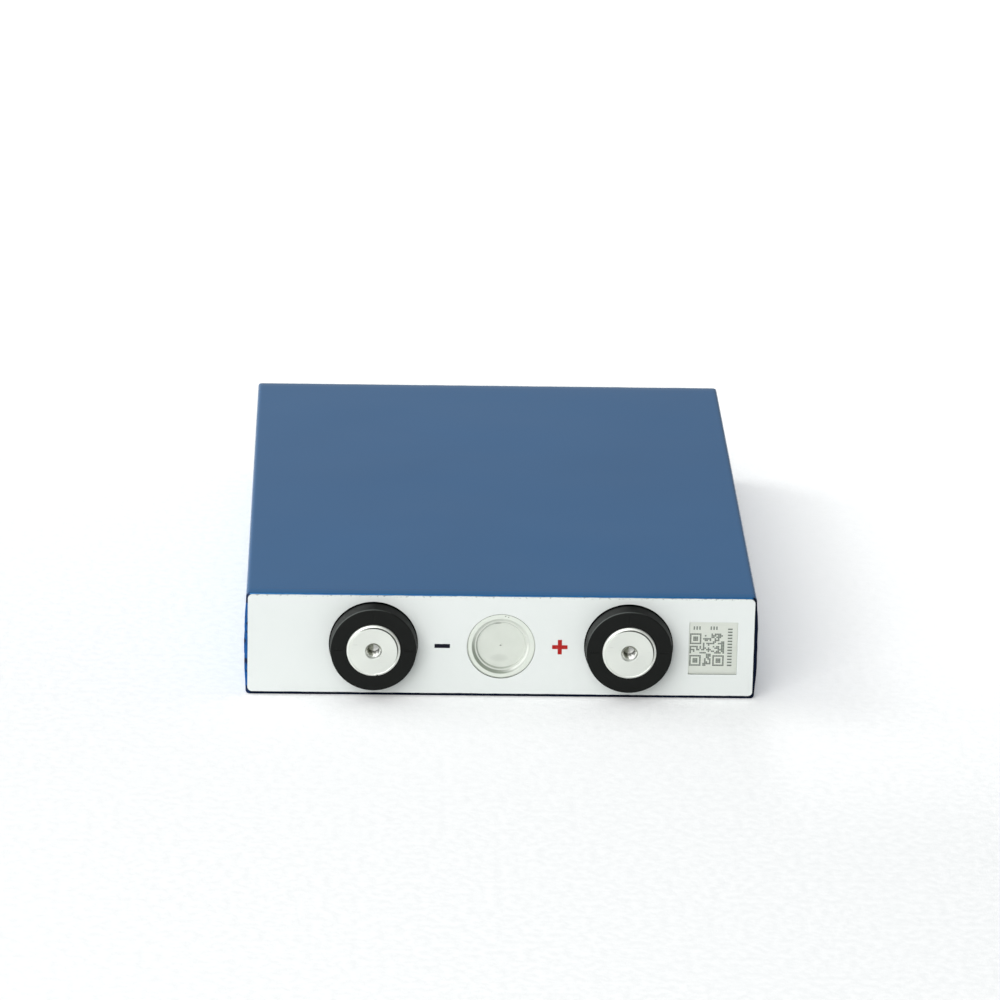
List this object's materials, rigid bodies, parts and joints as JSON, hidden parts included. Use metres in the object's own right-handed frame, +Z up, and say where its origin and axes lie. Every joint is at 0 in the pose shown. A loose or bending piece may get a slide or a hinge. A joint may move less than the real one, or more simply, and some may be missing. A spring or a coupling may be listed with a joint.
{
  "type": "prismatic battery cell",
  "caption": "Flat prismatic cell in blue film with white end sheets, round black-ringed screw terminals, a clear vent cover and a small code window.",
  "frame": {"origin": "centre of the wide face that the cell rests on, halfway between the two end sheets", "axes": "+X along the width towards the positive terminal, terminals face -Y, +Z up through the thickness"},
  "size_m": [0.1353, 0.1897, 0.0285],
  "materials": {
    "blue_film": "glossy PET film",
    "white_sheet": "satin sheet",
    "black_ink": "printed ink",
    "red_ink": "printed ink",
    "case_aluminium": "satin drawn sheet",
    "turned_aluminium": "fine turned",
    "copper": "bare copper",
    "black_insulator": "moulded, low sheen",
    "clear_cover": "clear moulded",
    "seal_rubber": "moulded rubber",
    "inner_plastic": "natural polypropylene",
    "bag_film": "thin film",
    "roll_separator": "wound separator film",
    "roll_tape": "adhesive tape"
  },
  "bodies": {
    "root": {"outer_film": "blue_film", "top_sheet": "white_sheet", "bottom_sheet": "white_sheet", "negative_mark": "black_ink", "positive_mark": "red_ink", "can": "case_aluminium", "lid_plate": "case_aluminium", "vent_disc": "case_aluminium", "vent_cover": "clear_cover", "fill_plug": "seal_rubber", "fill_cap": "case_aluminium", "negative_terminal": "turned_aluminium", "positive_terminal": "turned_aluminium", "negative_ring": "black_insulator", "positive_ring": "black_insulator", "negative_post": "copper", "positive_post": "case_aluminium", "negative_seal": "seal_rubber", "positive_seal": "seal_rubber", "negative_inner_insulator": "inner_plastic", "positive_inner_insulator": "inner_plastic", "negative_collector": "copper", "positive_collector": "case_aluminium", "negative_tabs": "copper", "positive_tabs": "case_aluminium", "lower_roll": "roll_separator", "upper_roll": "roll_separator", "roll_tapes": "roll_tape", "insulation_bag": "bag_film", "bottom_pad": "inner_plastic"}
  },
  "joints": []
}
